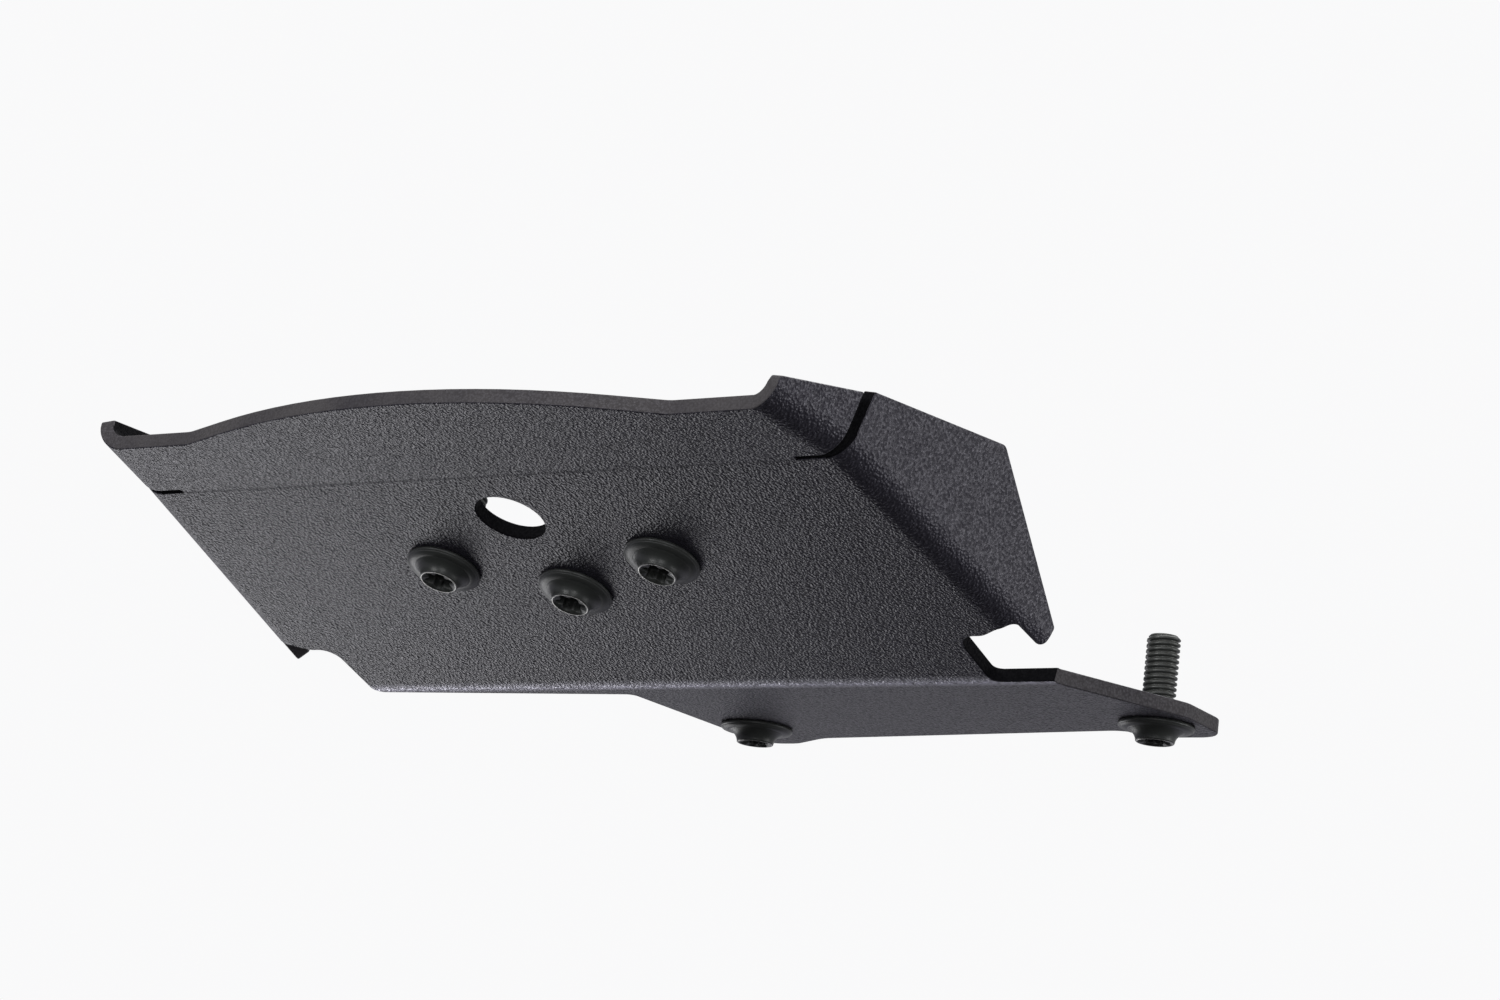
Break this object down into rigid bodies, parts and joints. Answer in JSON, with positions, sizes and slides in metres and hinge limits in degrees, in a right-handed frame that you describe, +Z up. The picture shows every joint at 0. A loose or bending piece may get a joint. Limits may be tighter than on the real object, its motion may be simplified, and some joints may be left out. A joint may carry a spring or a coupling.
{
  "type": "motorcycle tail cover",
  "caption": "Folded sheet cover that closes the underside of a motorcycle tail, with upturned side flanges, an arched rear flap, a raised front tongue and flanged screws.",
  "frame": {"origin": "centre of the cable hole on the upper face of the main panel", "axes": "+X to the right of the vehicle, +Y forward along the main panel, +Z up out of the panel's upper face"},
  "size_m": [0.1746, 0.138, 0.0299],
  "materials": {
    "coated_sheet": "charcoal black powder coat with a fine rough grain, satin, over aluminium sheet",
    "blackened_steel": "black oxide on steel, smooth satin"
  },
  "bodies": {
    "root": {"tail_cover": "coated_sheet", "rear_screws": "blackened_steel", "front_screws": "blackened_steel"}
  },
  "joints": []
}
